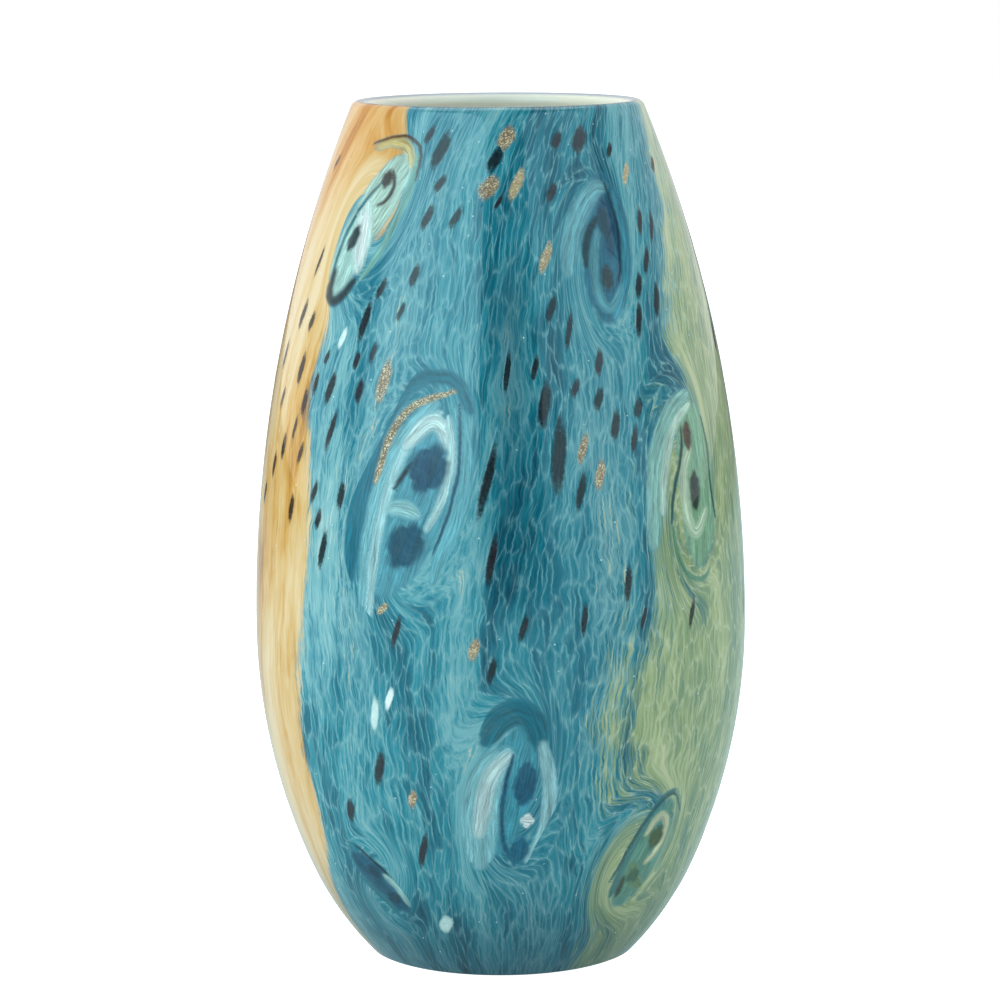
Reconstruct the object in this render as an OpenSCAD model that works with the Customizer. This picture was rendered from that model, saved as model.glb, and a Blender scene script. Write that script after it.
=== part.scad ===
// Hand blown art glass vase: clear outer casing, fused colour layer, opal lining.
// Millimetres, +Z up, origin at the centre of the ground base, front towards -Y.

/* [Body] */
// Overall height to the top of the lip
vase_h = 300; // [270:1:330]
// Radius at the widest point of the belly
belly_r = 86; // [82:1:92]
// Height of the widest point
belly_z = 118; // [112:1:124]
// Radius of the long arc from the belly up to the rim
side_arc_r = 480; // [440:5:560]
// Radius of the arc below the belly
lower_arc_r = 210; // [190:5:240]
// How far the arc below the belly turns, in degrees
lower_arc_turn = 24.4; // [22:0.1:27]
// Radius of the arc that runs in to the base
foot_arc_r = 108; // [100:1:116]

/* [Wall] */
// Thickness of the clear casing
casing_t = 3; // [2:0.5:4]
// Thickness of the colour layer
colour_t = 1; // [0.6:0.2:1.6]
// Thickness of the opal lining
lining_t = 2; // [1:0.5:3]
// Height of the cavity floor above the base
floor_z = 14; // [12:1:20]
// Inside corner radius between floor and wall
heel_r = 15; // [12:1:20]

/* [Colour fields] */
// Edge between the amber and the front blue field, degrees from the front
amber_edge = -56; // [-62:1:-50]
// Edge between the front blue and the green field
green_edge = 46; // [40:1:52]
// Edge between the green and the back blue field
back_edge = 128; // [120:1:136]
// Edge between the back blue and the amber field
amber_back_edge = 216; // [208:1:224]

/* [Twirls and chips] */
// Size of the twirls against their drawn size
twirl_scale = 1; // [0.8:0.05:1.05]
// How strongly the twirl outline hooks over at both ends
hook = 0.1; // [0:0.02:0.14]
// Size of the chips against their drawn size
chip_scale = 1; // [0.7:0.1:1]
// Chips spread round the back, before those under a twirl are left out
back_chips = 44; // [20:1:60]

/* [Hidden] */
$fn = 96;
wall_t = casing_t + colour_t + lining_t;
reach = belly_r + 10;

// Arc centres, each in the radius-height plane, meeting tangent to tangent.
side_cx = belly_r - side_arc_r;
lower_cx = belly_r - lower_arc_r;
foot_cx = lower_cx + (lower_arc_r - foot_arc_r) * cos(lower_arc_turn);
foot_cz = belly_z - (lower_arc_r - foot_arc_r) * sin(lower_arc_turn);

// Lip: a half round on the middle of the wall, above the last ring of the side.
lip_r = wall_t / 2;
lip_turn = asin((vase_h - lip_r - belly_z) / (side_arc_r - lip_r));
lip_cx = side_cx + (side_arc_r - lip_r) * cos(lip_turn);
lip_cz = vase_h - lip_r;

// Inner corner between floor and wall, one centre for every layer.
heel_cz = floor_z + heel_r;
heel_reach = foot_arc_r - wall_t - heel_r;
heel_turn = asin((foot_cz - heel_cz) / heel_reach);
heel_cx = foot_cx + heel_reach * cos(heel_turn);
base_turn = asin(foot_cz / foot_arc_r);

// Steps along each arc of the wall line.
side_steps = 16;
lower_steps = 10;
foot_steps = 7;
heel_steps = 7;
lip_steps = 12;

// Twirls: angle from the front, height, tall, wide, lean in degrees.
TWIRLS = [
    [-43.5, 262, 54, 32, -10],
    [30, 252, 54, 25, -6],
    [-20.5, 172, 74, 35, -10],
    [50, 174, 72, 36, -4],
    [1.5, 74, 60, 31, -8],
    [39.5, 46, 46, 34, -12],
    [-37, 36, 34, 26, -14],
    [98, 236, 58, 30, -8],
    [130, 128, 70, 36, -10],
    [168, 212, 66, 34, -6],
    [196, 84, 60, 32, -10],
    [240, 170, 66, 34, -8],
];
EYE_LIFT = [0.16, -0.14];
eye_tall = 0.24;
eye_wide = 0.3;
twirl_points = 32;
eye_points = 16;
chip_points = 12;

// Chips placed on the front: angle, height, length, width.
FRONT_DARK = [
    [-25, 291, 5, 2], [-20, 286, 10, 3.5], [-1, 283, 8, 3.5], [0, 269, 5, 1.5],
    [21, 289, 5, 2.5], [30, 289, 8, 4], [42, 285, 5, 2], [65, 279, 5, 2],
    [-72, 280, 5, 2], [-19, 275, 6, 2.5], [-22, 264, 7, 2.5], [-13, 264, 7, 2.5],
    [17, 272, 6, 2.5], [-63, 247, 8, 1.5], [-24, 245, 6, 2.5], [-34, 240, 7, 2.5],
    [-27, 233, 6, 2], [-66, 229, 9, 3], [-60, 227, 6, 2.5], [-38, 229, 11, 3],
    [-34, 219, 6, 2], [-50, 216, 5, 2], [-39, 216, 5, 2], [-74, 214, 8, 2.5],
    [-61, 211, 9, 3], [-47, 206, 10, 3.5], [-53, 207, 6, 2], [-37, 206, 6, 2.5],
    [-70, 200, 7, 2.5], [-57, 200, 7, 2.5], [-45, 192, 13, 3], [-60, 191, 7, 2],
    [-65, 184, 7, 2.5], [-56, 183, 7, 2.5], [-70, 177, 7, 2.5], [-49, 171, 7, 2.5],
    [-40, 171, 7, 2.5], [-47, 162, 6, 2.5], [-58, 164, 7, 2.5], [-76, 166, 7, 3],
    [-45, 152, 11, 3], [2, 214, 10, 2], [9, 215, 7, 2], [11, 203, 12, 3.5],
    [14, 186, 18, 4.5], [19, 208, 6, 2.5], [19, 174, 11, 3], [18.5, 227, 10, 2],
    [14, 234, 8, 2.5], [26, 216, 7, 2.5], [25, 204, 7, 3], [29, 195, 8, 3],
    [34, 190, 8, 2.5], [36, 200, 6, 3], [-3, 178, 22, 4], [-2, 152, 14, 3],
    [-24, 127, 10, 2.5], [-41, 62, 7, 3], [-30, 79, 11, 3.5], [-21, 50, 12, 3],
    [-2, 115, 7, 2.5], [5, 129, 8, 2.5], [19, 131, 8, 2], [30, 142, 9, 2.5],
    [34, 130, 7, 2], [49, 129, 9, 2.5], [48, 261, 7, 2], [53, 259, 8, 2],
    [47, 248, 8, 2.5], [48, 235, 9, 2.5], [40, 229, 9, 2.5], [42, 240, 7, 2.5],
];
FRONT_GOLD = [
    [3, 290, 7, 4], [-3, 274, 8, 5], [6, 275, 9, 3], [13.5, 251, 9, 3],
    [47, 277, 8, 2.5], [-30, 210, 12, 4], [20, 188, 9, 3], [24, 179, 8, 3],
    [-22, 69, 5, 2.5], [-6, 122, 6, 3],
];
FRONT_PALE = [
    [-45, 223, 7, 2.5], [-30, 98, 8, 2.5], [-26, 104, 7, 2.5], [-18, 22, 7, 4],
];

// Chips round the back: spread by the golden angle, kept clear of every twirl.
golden_angle = 137.508;
chip_low = 30;
chip_high = 286;
chip_gap = 5;
back_from = 80;
chip_lean = -8;
BACK_SIZES = [[11, 4], [8, 3], [9.5, 3.5], [7, 2.5], [9, 3]];

function arc(cx, cz, r, from, to, steps) = [
    for (i = [1:steps])
        let (a = from + (to - from) * i / steps)
        [cx + r * cos(a), cz + r * sin(a)]
];
function reversed(line) = [for (i = [len(line) - 1:-1:0]) line[i]];

// The wall line that lies d under the outer surface, from the foot up to the lip.
function wall_line(d, foot_turn) = concat(
    [[
        foot_cx + (foot_arc_r - d) * cos(foot_turn),
        foot_cz - (foot_arc_r - d) * sin(foot_turn)
    ]],
    arc(foot_cx, foot_cz, foot_arc_r - d, -foot_turn, -lower_arc_turn, foot_steps),
    arc(lower_cx, belly_z, lower_arc_r - d, -lower_arc_turn, 0, lower_steps),
    arc(side_cx, belly_z, side_arc_r - d, 0, lip_turn, side_steps)
);

// The same line closed underneath by a round heel and a flat floor.
function cup_line(d) =
    let (corner_r = heel_r + wall_t - d)
    concat(
        [[0, heel_cz - corner_r], [heel_cx, heel_cz - corner_r]],
        [for (i = [1:heel_steps - 1])
            let (a = -90 + (90 - heel_turn) * i / heel_steps)
            [heel_cx + corner_r * cos(a), heel_cz + corner_r * sin(a)]],
        wall_line(d, heel_turn)
    );

function turn_between(a, b) = ((a - b + 900) % 360) - 180;
function arc_length(a, b) = turn_between(a, b) * PI / 180 * belly_r;
function comma(tall, wide, points) = [
    for (i = [0:points - 1])
        let (t = 360 * i / points)
        [
            wide * (sin(t) / 2 + hook * sin(180 * cos(t))),
            tall / 2 * cos(t)
        ]
];
function under(a, z, t) =
    pow(arc_length(a, t[0]) / (t[3] / 2 + chip_gap), 2)
    + pow((z - t[1]) / (t[2] / 2 + chip_gap), 2) < 1;
function clear_of_twirls(a, z) = len([for (t = TWIRLS) if (under(a, z, t)) 1]) == 0;

back_turn = 360 - 2 * back_from;
BACK_CHIPS = [
    for (i = [0:back_chips - 1])
        let (
            a = back_from + (i * golden_angle) % back_turn,
            z = chip_low + (chip_high - chip_low) * (i + 0.5) / back_chips,
            size = BACK_SIZES[i % len(BACK_SIZES)]
        )
        if (clear_of_twirls(a, z)) [a, z, size[0], size[1], i % 6]
];
GOLD = concat(FRONT_GOLD, [for (c = BACK_CHIPS) if (c[4] == 0) c]);
PALE = concat(FRONT_PALE, [for (c = BACK_CHIPS) if (c[4] == 3) c]);
DARK = concat(FRONT_DARK, [for (c = BACK_CHIPS) if (c[4] != 0 && c[4] != 3) c]);

// ---- sections, drawn in the radius-height plane ----

module casing_section() {
    polygon(concat(
        [[0, 0]],
        wall_line(0, base_turn),
        arc(lip_cx, lip_cz, lip_r, lip_turn, lip_turn + 180, lip_steps),
        reversed(cup_line(casing_t))
    ));
}

module layer_section(outer_d, inner_d) {
    polygon(concat(cup_line(outer_d), reversed(cup_line(inner_d))));
}

// ---- the colour layer and what is cut into it ----

module colour_ring(from, to) {
    rotate([0, 0, from - 90])
        rotate_extrude(angle = to - from)
            layer_section(casing_t, casing_t + colour_t);
}

// A straight prism from the axis out through the wall, at one angle and height.
module cutter(angle, z, lean, outline) {
    rotate([0, 0, angle])
        translate([0, 0, z])
            rotate([90, 0, 0])
                linear_extrude(height = reach)
                    rotate(lean)
                        polygon(outline);
}

module twirl_cutter(t) {
    cutter(t[0], t[1], t[4], comma(t[2] * twirl_scale, t[3] * twirl_scale, twirl_points));
}

module eye_cutters(t) {
    for (lift = EYE_LIFT)
        cutter(
            t[0],
            t[1] + lift * t[2],
            t[4],
            comma(t[2] * eye_tall * twirl_scale, t[3] * eye_wide * twirl_scale, eye_points)
        );
}

module chip_cutters(places) {
    for (c = places)
        cutter(c[0], c[1], chip_lean, comma(c[2] * chip_scale, c[3] * chip_scale, chip_points));
}

module field(from, to) {
    difference() {
        colour_ring(from, to);
        for (t = TWIRLS)
            twirl_cutter(t);
        chip_cutters(concat(DARK, GOLD, PALE));
    }
}

module twirl(number) {
    difference() {
        intersection() {
            colour_ring(0, 360);
            twirl_cutter(TWIRLS[number]);
        }
        eye_cutters(TWIRLS[number]);
    }
}

module chips(places) {
    intersection() {
        colour_ring(0, 360);
        chip_cutters(places);
    }
}

// ---- the pieces ----

module clear_casing() {
    color([0.86, 0.93, 0.93, 0.35])
        rotate_extrude()
            casing_section();
}

module opal_lining() {
    color([0.93, 0.92, 0.87])
        rotate_extrude()
            layer_section(casing_t + colour_t, wall_t);
}

module blue_front_field() {
    color([0.16, 0.44, 0.54])
        field(amber_edge, green_edge);
}

module green_field() {
    color([0.5, 0.62, 0.46])
        field(green_edge, back_edge);
}

module blue_back_field() {
    color([0.18, 0.46, 0.56])
        field(back_edge, amber_back_edge);
}

module amber_field() {
    color([0.87, 0.67, 0.36])
        field(amber_back_edge, amber_edge + 360);
}

module twirl_left_top() {
    color([0.62, 0.78, 0.76])
        twirl(0);
}

module twirl_right_top() {
    color([0.3, 0.55, 0.6])
        twirl(1);
}

module twirl_middle() {
    color([0.62, 0.78, 0.78])
        twirl(2);
}

module twirl_right() {
    color([0.6, 0.76, 0.66])
        twirl(3);
}

module twirl_foot() {
    color([0.55, 0.74, 0.74])
        twirl(4);
}

module twirl_foot_right() {
    color([0.42, 0.6, 0.54])
        twirl(5);
}

module twirl_foot_left() {
    color([0.3, 0.5, 0.54])
        twirl(6);
}

module twirl_back_right_top() {
    color([0.6, 0.76, 0.66])
        twirl(7);
}

module twirl_back_right() {
    color([0.55, 0.72, 0.68])
        twirl(8);
}

module twirl_back_top() {
    color([0.55, 0.74, 0.76])
        twirl(9);
}

module twirl_back_foot() {
    color([0.5, 0.7, 0.72])
        twirl(10);
}

module twirl_back_left() {
    color([0.8, 0.8, 0.62])
        twirl(11);
}

module twirl_eyes() {
    color([0.09, 0.22, 0.27])
        intersection() {
            colour_ring(0, 360);
            for (t = TWIRLS)
                eye_cutters(t);
        }
}

module dark_chips() {
    color([0.13, 0.09, 0.13])
        chips(DARK);
}

module gold_chips() {
    color([0.66, 0.47, 0.28])
        chips(GOLD);
}

module pale_chips() {
    color([0.86, 0.9, 0.86])
        chips(PALE);
}

clear_casing();
opal_lining();
blue_front_field();
green_field();
blue_back_field();
amber_field();
twirl_left_top();
twirl_right_top();
twirl_middle();
twirl_right();
twirl_foot();
twirl_foot_right();
twirl_foot_left();
twirl_back_right_top();
twirl_back_right();
twirl_back_top();
twirl_back_foot();
twirl_back_left();
twirl_eyes();
dark_chips();
gold_chips();
pale_chips();
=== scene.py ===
import math

import bpy
import numpy as np
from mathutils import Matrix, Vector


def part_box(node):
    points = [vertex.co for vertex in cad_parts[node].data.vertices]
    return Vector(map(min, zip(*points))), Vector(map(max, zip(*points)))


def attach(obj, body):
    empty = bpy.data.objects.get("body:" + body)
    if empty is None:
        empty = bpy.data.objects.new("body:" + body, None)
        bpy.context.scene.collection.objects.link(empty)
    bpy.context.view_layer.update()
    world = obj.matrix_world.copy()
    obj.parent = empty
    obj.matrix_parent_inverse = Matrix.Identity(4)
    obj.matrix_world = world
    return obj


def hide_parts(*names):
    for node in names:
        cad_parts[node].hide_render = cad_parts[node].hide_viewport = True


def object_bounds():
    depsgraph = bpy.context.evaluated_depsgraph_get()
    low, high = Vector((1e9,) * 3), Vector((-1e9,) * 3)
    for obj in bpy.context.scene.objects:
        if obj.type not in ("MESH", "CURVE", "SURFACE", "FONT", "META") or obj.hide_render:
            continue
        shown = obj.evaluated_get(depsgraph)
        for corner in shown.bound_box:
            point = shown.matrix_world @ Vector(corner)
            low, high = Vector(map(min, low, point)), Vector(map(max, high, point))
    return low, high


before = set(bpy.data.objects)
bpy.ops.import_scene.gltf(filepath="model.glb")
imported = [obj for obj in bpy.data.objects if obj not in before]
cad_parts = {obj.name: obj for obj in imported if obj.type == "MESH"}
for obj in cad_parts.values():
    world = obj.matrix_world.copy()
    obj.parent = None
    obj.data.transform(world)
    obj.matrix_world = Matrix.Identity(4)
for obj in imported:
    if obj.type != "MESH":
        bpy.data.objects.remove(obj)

cad_low, cad_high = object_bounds()

# ---- Camera, room and floor ----
# The vase stands alone in a white studio: one tall softbox on each side of the camera, with a dark
# gap between them, and white all round.

scene = bpy.context.scene
scene.view_settings.view_transform = "Standard"
AIM = (0.0, 0.0, 0.1598)
EYE = (0.0, -1.5, 0.380)
LENS_MM = 155.5
LEAN = math.radians(-0.35)


def look_at(thing, target):
    """Turns a camera or light so that it faces the target."""
    way = np.array(target) - np.array(thing.location)
    flat = math.hypot(way[0], way[1])
    thing.rotation_euler = (math.atan2(flat, -way[2]), 0.0, math.atan2(-way[0], way[1]))


camera = bpy.data.objects.new("camera", bpy.data.cameras.new("camera"))
camera.location = EYE
camera.data.lens = LENS_MM
camera.data.sensor_width = 36.0
scene.collection.objects.link(camera)
look_at(camera, AIM)
camera.rotation_euler.rotate_axis("Z", LEAN)
scene.camera = camera


def add(tree, kind, settings=None, sockets=None):
    """Adds one node with its settings, and sets or links its sockets."""
    node = tree.nodes.new(kind)
    for name, value in (settings or {}).items():
        if name == "stops":
            band = node.color_ramp.elements
            while len(band) < len(value):
                band.new(0.5)
            for stop, (place, colour) in zip(band, value):
                stop.position = place
                stop.color = colour
        else:
            setattr(node, name, value)
    for key, value in (sockets or {}).items():
        if isinstance(value, bpy.types.NodeSocket):
            tree.links.new(value, node.inputs[key])
        else:
            node.inputs[key].default_value = value
    return node


SMOOTH = {"interpolation_type": "SMOOTHSTEP"}
TIMES = {"operation": "MULTIPLY"}
DIM_START = 0.18
DIM_FOOT = 0.3


def softbox(name, place, target, wide, tall, bright, tint, side_fade=0.0, low_fade=0.0):
    """A soft studio light; the fades dim its right-hand end and, down to DIM_FOOT, its foot."""
    lamp = bpy.data.lights.new(name, "AREA")
    lamp.shape = "RECTANGLE"
    lamp.size = wide
    lamp.size_y = tall
    lamp.energy = bright * math.pi * wide * tall
    lamp.color = tint
    if side_fade:
        lamp.use_nodes = True
        tree = lamp.node_tree
        tree.nodes.clear()
        spot = add(tree, "ShaderNodeNewGeometry")
        spot = add(tree, "ShaderNodeSeparateXYZ", None, {0: spot.outputs["Parametric"]})
        edge = add(tree, "ShaderNodeMapRange", SMOOTH, {
            0: spot.outputs["X"], 1: 0.0, 2: side_fade})
        low = add(tree, "ShaderNodeMapRange", SMOOTH, {
            0: spot.outputs["Y"], 1: DIM_START, 2: low_fade, 3: DIM_FOOT, 4: 1.0})
        both = add(tree, "ShaderNodeMath", TIMES, {
            0: edge.outputs[0], 1: low.outputs[0]})
        glow = add(tree, "ShaderNodeEmission", None, {"Strength": both.outputs[0]})
        add(tree, "ShaderNodeOutputLight", None, {"Surface": glow.outputs[0]})
    box = bpy.data.objects.new(name, lamp)
    box.location = place
    scene.collection.objects.link(box)
    look_at(box, target)
    return box


# the light mirrored in the polished skin is cool; the fills reach the colour only
MIRRORED = (0.66, 1.0, 1.10)
FILL = (0.95, 1.0, 1.02)
WARM = (1.0, 0.25, 0.05)
WHITE = (1.0, 1.0, 1.0)
LEFT_STAND, LEFT_AIM, LEFT_WIDE = (-0.79, -0.87, 0.55), (0.05, 0.0, 0.55), 1.52
RIGHT_STAND, RIGHT_AIM, RIGHT_WIDE = (0.847, -0.79, 0.55), (-0.03, 0.0, 0.55), 1.22
TALL = 1.7
SIDE_AIM = (0.0, 0.0, 0.15)
softbox("left_softbox", LEFT_STAND, LEFT_AIM, LEFT_WIDE, TALL, 2.15, MIRRORED, 0.2, 0.5)
softbox("right_softbox", RIGHT_STAND, RIGHT_AIM, RIGHT_WIDE, TALL, 1.1, MIRRORED, 0.05, 0.4)
fills = [
    softbox("right_fill", RIGHT_STAND, RIGHT_AIM, RIGHT_WIDE, TALL, 1.6, FILL),
    softbox("left_side_fill", (-1.3, 0.0, 0.2), SIDE_AIM, 1.2, 1.4, 2.6, FILL),
    softbox("right_side_fill", (1.3, 0.0, 0.2), SIDE_AIM, 1.2, 1.4, 1.4, FILL),
    softbox("warm_fill", LEFT_STAND, LEFT_AIM, LEFT_WIDE, TALL, 0.9, WARM),
]
for box in fills:
    box.visible_glossy = False
softbox("top_softbox", (0.0, 0.30, 1.5), (0.0, 0.0, 0.1), 1.4, 1.0, 1.5, WHITE)

# white to the camera; its light comes from behind the vase and is almost dark behind the camera
room = bpy.data.worlds.new("white_room")
scene.world = room
room.use_nodes = True
tree = room.node_tree
tree.nodes.clear()
path = add(tree, "ShaderNodeLightPath")
way = add(tree, "ShaderNodeTexCoord")
way = add(tree, "ShaderNodeSeparateXYZ", None, {0: way.outputs["Generated"]})
glow = add(tree, "ShaderNodeMapRange", SMOOTH, {
    0: way.outputs["Y"], 1: -0.6, 2: 0.5, 3: 0.05, 4: 0.85})
lit = add(tree, "ShaderNodeBackground", None, {
    "Color": (0.97, 0.99, 1.0, 1.0), "Strength": glow.outputs[0]})
shown = add(tree, "ShaderNodeBackground", None, {"Color": (1.0, 1.0, 1.0, 1.0), "Strength": 1.0})
both = add(tree, "ShaderNodeMixShader", None, {
    0: path.outputs["Is Camera Ray"], 1: lit.outputs[0], 2: shown.outputs[0]})
add(tree, "ShaderNodeOutputWorld", None, {"Surface": both.outputs[0]})


SHARP = math.radians(45)


def mesh_piece(name, points, faces):
    """A smooth mesh object from points and faces."""
    mesh = bpy.data.meshes.new(name)
    mesh.from_pydata([tuple(p) for p in points], [], faces)
    mesh.validate()
    mesh.shade_smooth()
    mesh.set_sharp_from_angle(angle=SHARP)
    piece = bpy.data.objects.new(name, mesh)
    scene.collection.objects.link(piece)
    return piece


def material(name):
    """A new material and its node tree, emptied."""
    stuff = bpy.data.materials.new(name)
    stuff.use_nodes = True
    stuff.node_tree.nodes.clear()
    return stuff, stuff.node_tree


floor = mesh_piece("floor", [(-6, -6, 0), (6, -6, 0), (6, 6, 0), (-6, 6, 0)], [(0, 1, 2, 3)])
# white to the camera, a grey card in the gloss that glows out to GLOW_OUT, pale to all other light
GLOW_FULL, GLOW_OUT, CARD_GLOW = 1.2, 1.9, 0.35
COLOURS = {"data_type": "RGBA"}
card, tree = material("white_card")
path = add(tree, "ShaderNodeLightPath")
spot = add(tree, "ShaderNodeTexCoord")
away = add(tree, "ShaderNodeVectorMath", {"operation": "LENGTH"}, {0: spot.outputs["Object"]})
near = add(tree, "ShaderNodeMapRange", SMOOTH, {
    0: away.outputs["Value"], 1: GLOW_OUT, 2: GLOW_FULL, 3: 0.0, 4: CARD_GLOW})
near = add(tree, "ShaderNodeMath", TIMES, {
    0: near.outputs[0], 1: path.outputs["Is Glossy Ray"]})
glow = add(tree, "ShaderNodeMath", {"operation": "MAXIMUM"}, {
    0: path.outputs["Is Camera Ray"], 1: near.outputs[0]})
grey = add(tree, "ShaderNodeMix", COLOURS, {
    0: path.outputs["Is Glossy Ray"], 6: (0.8, 0.8, 0.8, 1.0), 7: (0.24, 0.28, 0.29, 1.0)})
cool = add(tree, "ShaderNodeMix", COLOURS, {
    0: path.outputs["Is Camera Ray"], 6: (0.7, 1.0, 1.06, 1.0), 7: (1.0, 1.0, 1.0, 1.0)})
shade = add(tree, "ShaderNodeBsdfPrincipled", None, {
    "Base Color": grey.outputs[2], "Roughness": 0.9, "Specular IOR Level": 0.0,
    "Emission Color": cool.outputs[2], "Emission Strength": glow.outputs[0]})
add(tree, "ShaderNodeOutputMaterial", None, {"Surface": shade.outputs[0]})
floor.data.materials.append(card)

# ---- Clear casing ----
# The outer gather: clear crystal over all the colour. It shows as glass in the fire-polished bead
# on the lip and in the thick ground base; over the colour it is the clear coat of each piece.

BELLY_R = 0.086
BELLY_Z = 0.118
SIDE_R = 0.480
LOWER_R = 0.210
FOOT_R = 0.108
LOWER_TURN = math.radians(24.4)
CASING = 0.003
COLOUR = 0.001
LINING = 0.002
WALL = CASING + COLOUR + LINING
FLOOR_Z = 0.014
HEEL_R = 0.015
SINK = 0.00005

side_x = BELLY_R - SIDE_R
lower_x = BELLY_R - LOWER_R
foot_x = lower_x + (LOWER_R - FOOT_R) * math.cos(LOWER_TURN)
foot_z = BELLY_Z - (LOWER_R - FOOT_R) * math.sin(LOWER_TURN)
lip_turn = math.asin((cad_high.z - WALL / 2 - BELLY_Z) / (SIDE_R - WALL / 2))
lip_x = side_x + (SIDE_R - WALL / 2) * math.cos(lip_turn)
lip_z = cad_high.z - WALL / 2
heel_z = FLOOR_Z + HEEL_R
heel_turn = math.asin((foot_z - heel_z) / (FOOT_R - WALL - HEEL_R))
heel_x = foot_x + (FOOT_R - WALL - HEEL_R) * math.cos(heel_turn)
base_turn = math.asin(foot_z / FOOT_R)


def arc(x, z, r, start, end, steps):
    """Points along an arc in the radius-height plane, without its first point."""
    turn = start + (end - start) * np.arange(1, steps + 1) / steps
    return np.stack([x + r * np.cos(turn), z + r * np.sin(turn)], axis=1)


def wall_line(depth, start, pitch):
    """The wall that far under the skin, from the foot up to the lip."""
    r = FOOT_R - depth
    first = [[foot_x + r * math.cos(start), foot_z - r * math.sin(start)]]
    foot_steps = round(FOOT_R * (start - LOWER_TURN) / pitch)
    lower_steps = round(LOWER_R * LOWER_TURN / pitch)
    side_steps = round(SIDE_R * lip_turn / pitch)
    return np.concatenate([
        first,
        arc(foot_x, foot_z, r, -start, -LOWER_TURN, foot_steps),
        arc(lower_x, BELLY_Z, LOWER_R - depth, -LOWER_TURN, 0.0, lower_steps),
        arc(side_x, BELLY_Z, SIDE_R - depth, 0.0, lip_turn, side_steps),
    ])


def cup_line(depth, pitch):
    """The same line closed underneath by a round heel and a flat floor."""
    r = HEEL_R + WALL - depth
    low = heel_z - r
    floor_steps = round(heel_x / pitch)
    heel_steps = round((HEEL_R + WALL) * (math.pi / 2 - heel_turn) / pitch)
    across = [[heel_x * i / floor_steps, low] for i in range(floor_steps + 1)]
    heel = arc(heel_x, heel_z, r, -math.pi / 2, -heel_turn, heel_steps)[:-1]
    return np.concatenate([across, heel, wall_line(depth, heel_turn, pitch)])


def turned(line, steps):
    """Points and faces of a line turned round the axis; ends that lie on the axis close it."""
    turn = np.arange(steps) * 2 * math.pi / steps
    closed = line[0][0] == 0.0
    body = line[1:-1] if closed else line
    points = [(r * math.sin(t), -r * math.cos(t), z) for r, z in body for t in turn]
    bands = len(body) - 1 if closed else len(body)
    faces = []
    for i in range(bands):
        low, high = i * steps, (i + 1) % len(body) * steps
        for k in range(steps):
            n = (k + 1) % steps
            faces.append((low + k, low + n, high + n, high + k))
    if closed:
        first, last = len(points), (len(body) - 1) * steps
        points += [(0.0, 0.0, line[0][1]), (0.0, 0.0, line[-1][1])]
        for k in range(steps):
            n = (k + 1) % steps
            faces.append((first, n, k))
            faces.append((first + 1, last + k, last + n))
    return points, faces


SKIN = 0.0003
PUCK_Z = 0.011
CREST = math.radians(78)
BEAD_R = 0.0006
ROUND_STEPS = 192
BEAD_STEPS = 256
HEEL_EDGE = 0.0010
CASING_PITCH = 0.0015
foot_line = wall_line(SKIN, base_turn, CASING_PITCH)
foot_line = foot_line[foot_line[:, 1] < PUCK_Z]
puck_line = np.concatenate([
    [[0.0, 0.0], [0.02, 0.0], [foot_line[0][0] - HEEL_EDGE, 0.0], [foot_line[0][0] - 0.0004, 0.0002]],
    foot_line[1:], [[foot_line[-1][0] - HEEL_EDGE / 2, PUCK_Z - SINK], [0.0, PUCK_Z - SINK]]])
points, faces = turned(puck_line, ROUND_STEPS)
bead_x = lip_x + (WALL / 2 - BEAD_R) * math.cos(CREST)
bead_z = lip_z + (WALL / 2 - BEAD_R) * math.sin(CREST) + SINK
more, rolls = turned(arc(bead_x, bead_z, BEAD_R, 0.0, 2 * math.pi, 16), BEAD_STEPS)
faces += [tuple(len(points) + p for p in face) for face in rolls]
casing = mesh_piece("clear_casing_glass", points + more, faces)


def each(mm):
    """The scale of a pattern whose parts are that many millimetres across."""
    return 1000.0 / mm


def paint(code):
    """An sRGB hex colour as linear red, green, blue and alpha."""
    parts = [int(code[i:i + 2], 16) / 255 for i in (1, 3, 5)]
    line = [c / 12.92 if c <= 0.04045 else ((c + 0.055) / 1.055) ** 2.4 for c in parts]
    return (*line, 1.0)


crystal, tree = material("clear_crystal")
place = add(tree, "ShaderNodeTexCoord")
ripple = add(tree, "ShaderNodeTexNoise", None, {
    "Vector": place.outputs["Object"], "Scale": each(33.33), "Detail": 2.0})
tint = add(tree, "ShaderNodeValToRGB", {
    "stops": [(0.3, paint("#eef6f6")), (0.7, paint("#ffffff"))]}, {"Fac": ripple.outputs["Fac"]})
bump = add(tree, "ShaderNodeBump", None, {
    "Height": ripple.outputs["Fac"], "Strength": 0.08, "Distance": 0.0004})
shade = add(tree, "ShaderNodeBsdfPrincipled", None, {
    "Base Color": tint.outputs["Color"], "Roughness": 0.0, "IOR": 1.5,
    "Transmission Weight": 1.0, "Normal": bump.outputs["Normal"]})
add(tree, "ShaderNodeOutputMaterial", None, {"Surface": shade.outputs[0]})
casing.data.materials.append(crystal)
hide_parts("clear_casing")
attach(casing, "root")

# ---- Opal lining ----
# The first gather, a milky cream opal. It hides the far wall behind the colour and is what shows
# through the mouth; over the crest of the lip it thins out to a blue-grey line.

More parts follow.
